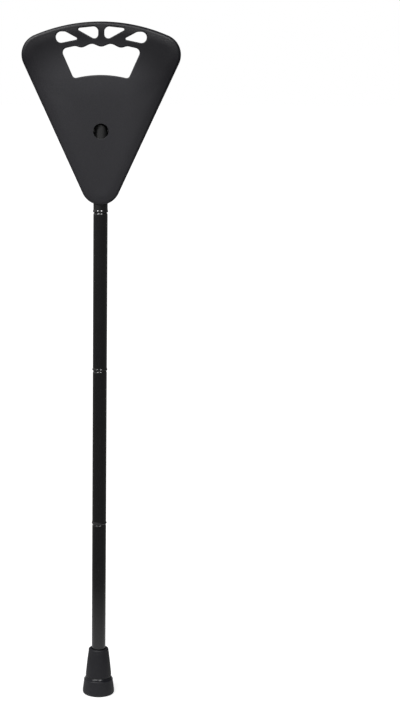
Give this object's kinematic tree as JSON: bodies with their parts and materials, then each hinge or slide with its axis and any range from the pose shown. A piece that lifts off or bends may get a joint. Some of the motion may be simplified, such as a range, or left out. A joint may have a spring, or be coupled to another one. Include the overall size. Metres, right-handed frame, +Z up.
{
  "type": "seat cane",
  "caption": "Walking cane whose triangular plate with a hand hole turns over to a seat, on a push-together sectional shaft with a wide rubber foot.",
  "frame": {"origin": "centre of the ferrule's sole, on the floor", "axes": "+Z up along the shaft, -Y out of the seat's outer face while the cane is carried, +X to the right seen from that side"},
  "size_m": [0.2068, 0.0434, 0.9139],
  "materials": {
    "seat_plastic": "charcoal moulded plastic with a fine leather grain and a soft sheen",
    "button_plastic": "smooth black moulded plastic",
    "inner_plastic": "plain black nylon",
    "bush_plastic": "black bearing plastic",
    "tube_metal": "gloss black coated aluminium tube",
    "foot_rubber": "matt black rubber",
    "cord_rubber": "black covered elastic cord",
    "bright_steel": "bright plated steel",
    "crimp_metal": "plain squeezed aluminium"
  },
  "bodies": {
    "lower_section": {"lower_tube": "tube_metal", "lower_neck_guide": "inner_plastic", "shock_cord_lower": "cord_rubber", "lower_cord_plug": "inner_plastic", "lower_cord_crimp": "crimp_metal", "ferrule": "foot_rubber", "ferrule_washer": "bright_steel"},
    "middle_section": {"middle_tube": "tube_metal", "middle_neck_guide": "inner_plastic", "shock_cord_middle": "cord_rubber"},
    "upper_section": {"upper_tube": "tube_metal", "upper_neck_guide": "inner_plastic", "shock_cord_upper": "cord_rubber"},
    "stub": {"stub_tube": "tube_metal", "head_plug": "inner_plastic", "pivot_bush_left": "bush_plastic", "pivot_bush_right": "bush_plastic", "button_spring": "bright_steel", "upper_cord_plug": "inner_plastic", "upper_cord_crimp": "crimp_metal"},
    "button": {"release_button": "button_plastic"},
    "seat": {"seat_shell": "seat_plastic", "pivot_pin": "bright_steel", "pin_retainer": "bright_steel"}
  },
  "joints": [
    {"name": "lower_joint_pull", "type": "slide", "parent": "lower_section", "child": "middle_section", "axis": [0, 0, 1], "range_m": [0, 0.045], "stiffness_N_per_m": 300, "springref_m": -0.05, "deforming": ["shock_cord_lower"]},
    {"name": "middle_joint_pull", "type": "slide", "parent": "middle_section", "child": "upper_section", "axis": [0, 0, 1], "range_m": [0, 0.045], "stiffness_N_per_m": 300, "springref_m": -0.05, "deforming": ["shock_cord_middle"]},
    {"name": "upper_joint_pull", "type": "slide", "parent": "upper_section", "child": "stub", "axis": [0, 0, 1], "range_m": [0, 0.045], "stiffness_N_per_m": 300, "springref_m": -0.05, "deforming": ["shock_cord_upper"]},
    {"name": "seat_flip", "type": "hinge", "parent": "stub", "child": "seat", "pos_m": [0, 0, 0.773], "axis": [-1, 0, 0], "range_deg": [0, 90]},
    {"name": "button_press", "type": "slide", "parent": "stub", "child": "button", "axis": [0, 0, -1], "range_m": [0, 0.0035], "stiffness_N_per_m": 600, "springref_m": -0.004, "deforming": ["button_spring"]}
  ]
}
